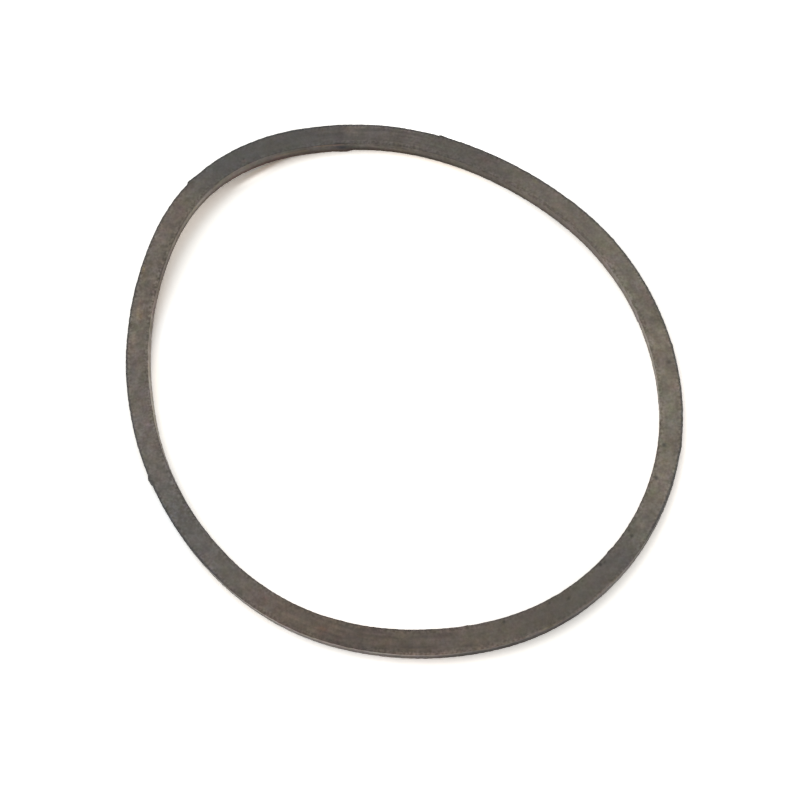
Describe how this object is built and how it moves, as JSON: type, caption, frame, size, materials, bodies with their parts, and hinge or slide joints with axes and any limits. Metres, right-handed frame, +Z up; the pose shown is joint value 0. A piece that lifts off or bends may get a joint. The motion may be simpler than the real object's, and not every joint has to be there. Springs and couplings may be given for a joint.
{
  "type": "rubber washer",
  "caption": "Large thin flat-section rubber washer, limp and out of round, lying flat with one stretch of its band raised.",
  "frame": {"origin": "middle of the washer's bounding box, on the surface that its flat underside rests on", "axes": "+Z up through the hole, square to the flat underside; X and Y in the plane of the washer, with the raised stretch lying about 144 degrees anticlockwise from +X as seen from above"},
  "size_m": [0.1004, 0.1042, 0.0057],
  "materials": {
    "rubber": "matt, dark warm grey, mottled and scuffed, with cut edges"
  },
  "bodies": {
    "root": {"washer": "rubber"}
  },
  "joints": []
}
